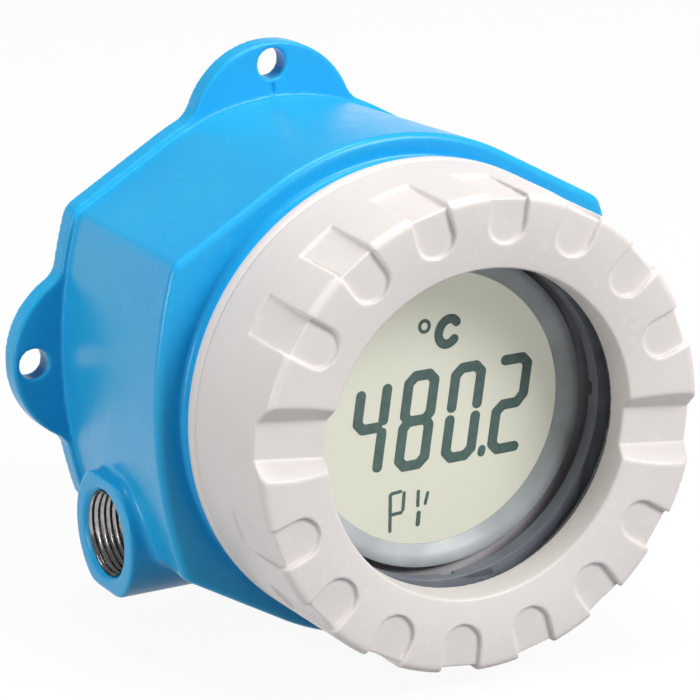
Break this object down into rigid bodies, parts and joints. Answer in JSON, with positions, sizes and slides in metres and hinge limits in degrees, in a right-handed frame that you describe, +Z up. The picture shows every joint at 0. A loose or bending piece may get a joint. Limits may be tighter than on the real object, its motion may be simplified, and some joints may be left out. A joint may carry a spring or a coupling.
{
  "type": "temperature transmitter",
  "caption": "Wall-mounted field temperature transmitter: blue die-cast housing with threaded cable entries, screw-on cover with a round window, and a turnable digital display.",
  "frame": {"origin": "centre of the flat wall face, on the axis of the round cover", "axes": "+Y into the wall, along the wall face's outward normal; the window looks along -Y; +Z up with the display upright; +X to the right of someone who reads the display"},
  "size_m": [0.1398, 0.106, 0.1274],
  "materials": {
    "blue_paint": "satin powder coat on die-cast aluminium",
    "grey_paint": "satin light grey powder coat on die-cast aluminium",
    "black_rubber": "smooth black rubber",
    "clear_glass": "polished clear glass",
    "dark_metal": "dark anodised",
    "grey_plastic": "matte grey",
    "display_face": "pale liquid crystal face with dark segments",
    "white_plastic": "matte white",
    "pink_rubber": "soft contact rubber",
    "circuit_board": "green solder mask",
    "black_plastic": "matte dark moulded plastic",
    "plated_steel": "plated steel",
    "brass": "turned brass",
    "board_part": "dark moulded components",
    "green_plastic": "matte green moulded plastic",
    "bare_aluminium": "turned bare aluminium"
  },
  "bodies": {
    "housing_body": {"housing": "blue_paint", "cover_o_ring": "black_rubber", "display_carrier": "black_plastic", "carrier_screws": "plated_steel", "display_spacers": "brass", "electronics_case": "black_plastic", "main_board": "circuit_board", "board_parts": "board_part", "case_lid": "black_plastic", "case_screws": "plated_steel", "terminal_block": "green_plastic", "terminal_cages": "plated_steel", "terminal_screws": "plated_steel"},
    "window_body": {"window_glass": "clear_glass"},
    "cover_body": {"cover": "grey_paint", "window_seal": "black_rubber", "window_clamp_ring": "dark_metal"},
    "display_body": {"display_bezel": "grey_plastic", "display_glass": "display_face", "display_light_sheet": "white_plastic", "display_contact_strips": "pink_rubber", "display_board": "circuit_board", "display_back": "black_plastic", "display_hub_clip": "plated_steel"},
    "plug_seal_body": {"blind_plug_seal": "black_rubber"},
    "plug_body": {"blind_plug": "bare_aluminium"},
    "outer_clamp_body": {"outer_ground_clamp": "plated_steel"},
    "outer_screw_body": {"outer_ground_screw": "plated_steel"},
    "inner_clamp_body": {"inner_ground_clamp": "plated_steel"},
    "inner_screw_body": {"inner_ground_screw": "plated_steel"}
  },
  "joints": [
    {"name": "cover_travel", "type": "slide", "parent": "housing_body", "child": "window_body", "axis": [0, -1, 0], "range_m": [0, 0.0152]},
    {"name": "cover_turn", "type": "hinge", "parent": "window_body", "child": "cover_body", "pos_m": [0, -0.088, 0], "axis": [0, -1, 0], "range_deg": [0, 2700]},
    {"name": "display_turn", "type": "hinge", "parent": "housing_body", "child": "display_body", "pos_m": [0, -0.0685, 0], "axis": [0, -1, 0], "range_deg": [-90, 180]},
    {"name": "plug_travel", "type": "slide", "parent": "housing_body", "child": "plug_seal_body", "axis": [1, 0, 0], "range_m": [0, 0.0166]},
    {"name": "plug_turn", "type": "hinge", "parent": "plug_seal_body", "child": "plug_body", "pos_m": [0.062, -0.0334, -0.0338], "axis": [1, 0, 0], "range_deg": [0, 3960]},
    {"name": "outer_ground_travel", "type": "slide", "parent": "housing_body", "child": "outer_clamp_body", "axis": [1, 0, 0], "range_m": [0, 0.0024]},
    {"name": "outer_ground_turn", "type": "hinge", "parent": "outer_clamp_body", "child": "outer_screw_body", "pos_m": [0.0636, -0.033, 0.009], "axis": [1, 0, 0], "range_deg": [0, 1082]},
    {"name": "inner_ground_travel", "type": "slide", "parent": "housing_body", "child": "inner_clamp_body", "axis": [0, -1, 0], "range_m": [0, 0.0014]},
    {"name": "inner_ground_turn", "type": "hinge", "parent": "inner_clamp_body", "child": "inner_screw_body", "pos_m": [0, -0.0156, -0.037], "axis": [0, -1, 0], "range_deg": [0, 722]}
  ],
  "couplings": [
    {"joint": "cover_travel", "follows": "cover_turn", "m_per_rad": 0.00031831},
    {"joint": "plug_travel", "follows": "plug_turn", "m_per_rad": 0.00023873},
    {"joint": "outer_ground_turn", "follows": "outer_ground_travel", "rad_per_m": 7854},
    {"joint": "inner_ground_turn", "follows": "inner_ground_travel", "rad_per_m": 8976}
  ]
}
